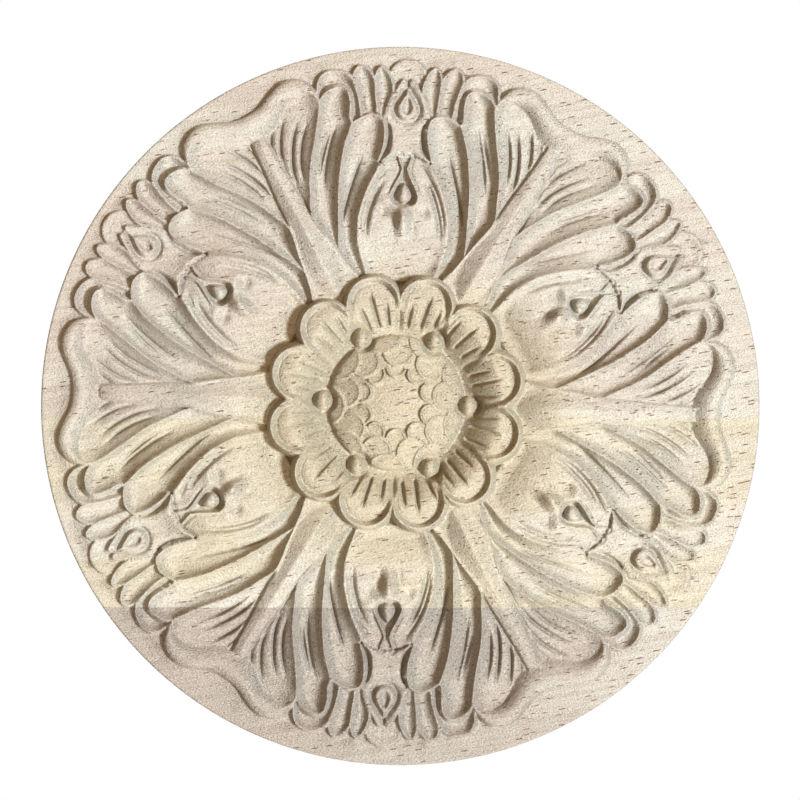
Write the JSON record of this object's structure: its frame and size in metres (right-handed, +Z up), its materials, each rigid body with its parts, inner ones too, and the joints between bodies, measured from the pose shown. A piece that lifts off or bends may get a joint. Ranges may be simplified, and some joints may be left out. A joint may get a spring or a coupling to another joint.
{
  "type": "carved wood applique",
  "caption": "Round carved wood applique with acanthus leaves round a central flower, for fixing flat on a wall, door or furniture.",
  "frame": {"origin": "centre of the round disc on its flat back face", "axes": "+Y out of the back face, into the wall; the carving faces -Y; +Z up; +X to the right as seen from the front"},
  "size_m": [0.3, 0.018, 0.3],
  "materials": {
    "raw_rubberwood": "raw, finely sanded, unfinished"
  },
  "bodies": {
    "root": {"carved_rosette": "raw_rubberwood"}
  },
  "joints": []
}
